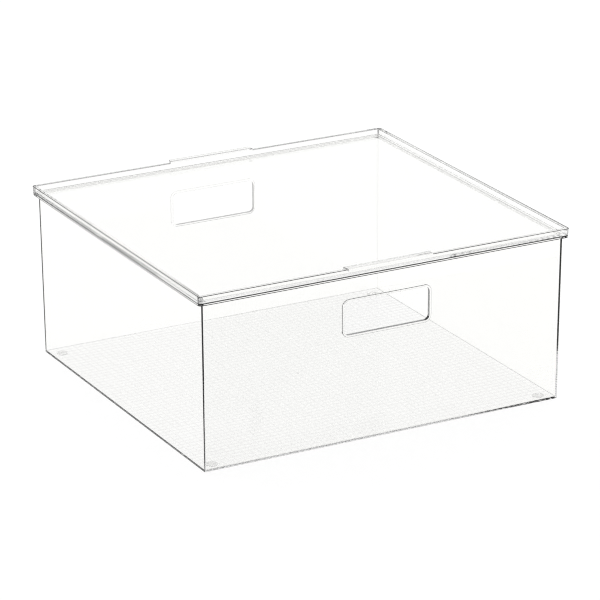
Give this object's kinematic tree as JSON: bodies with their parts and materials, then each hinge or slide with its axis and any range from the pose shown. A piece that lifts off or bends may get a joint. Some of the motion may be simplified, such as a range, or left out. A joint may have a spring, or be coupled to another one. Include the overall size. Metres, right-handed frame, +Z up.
{
  "type": "storage bin",
  "caption": "Clear plastic storage bin with a lift-off recessed lid that stacks, hand openings in two facing walls, a lip to lift the lid by and small round foot pads.",
  "frame": {"origin": "on the floor plane under the middle of the bin", "axes": "+X along the width, the longer side; -Y out of the front wall, which holds one of the two hand openings; +Z up"},
  "size_m": [0.4134, 0.3904, 0.186],
  "materials": {
    "clear_body": "clear, polished, faint flow texture",
    "clear_lid": "clear, polished",
    "pad": "translucent grey, satin"
  },
  "bodies": {
    "bin": {"bin_body": "clear_body", "foot_pad_front_left": "pad", "foot_pad_front_right": "pad", "foot_pad_back_right": "pad", "foot_pad_back_left": "pad"},
    "lid": {"lid": "clear_lid"}
  },
  "joints": [
    {"name": "lid_lift", "type": "slide", "parent": "bin", "child": "lid", "axis": [0, 0, 1], "range_m": [0, 0.04]}
  ]
}
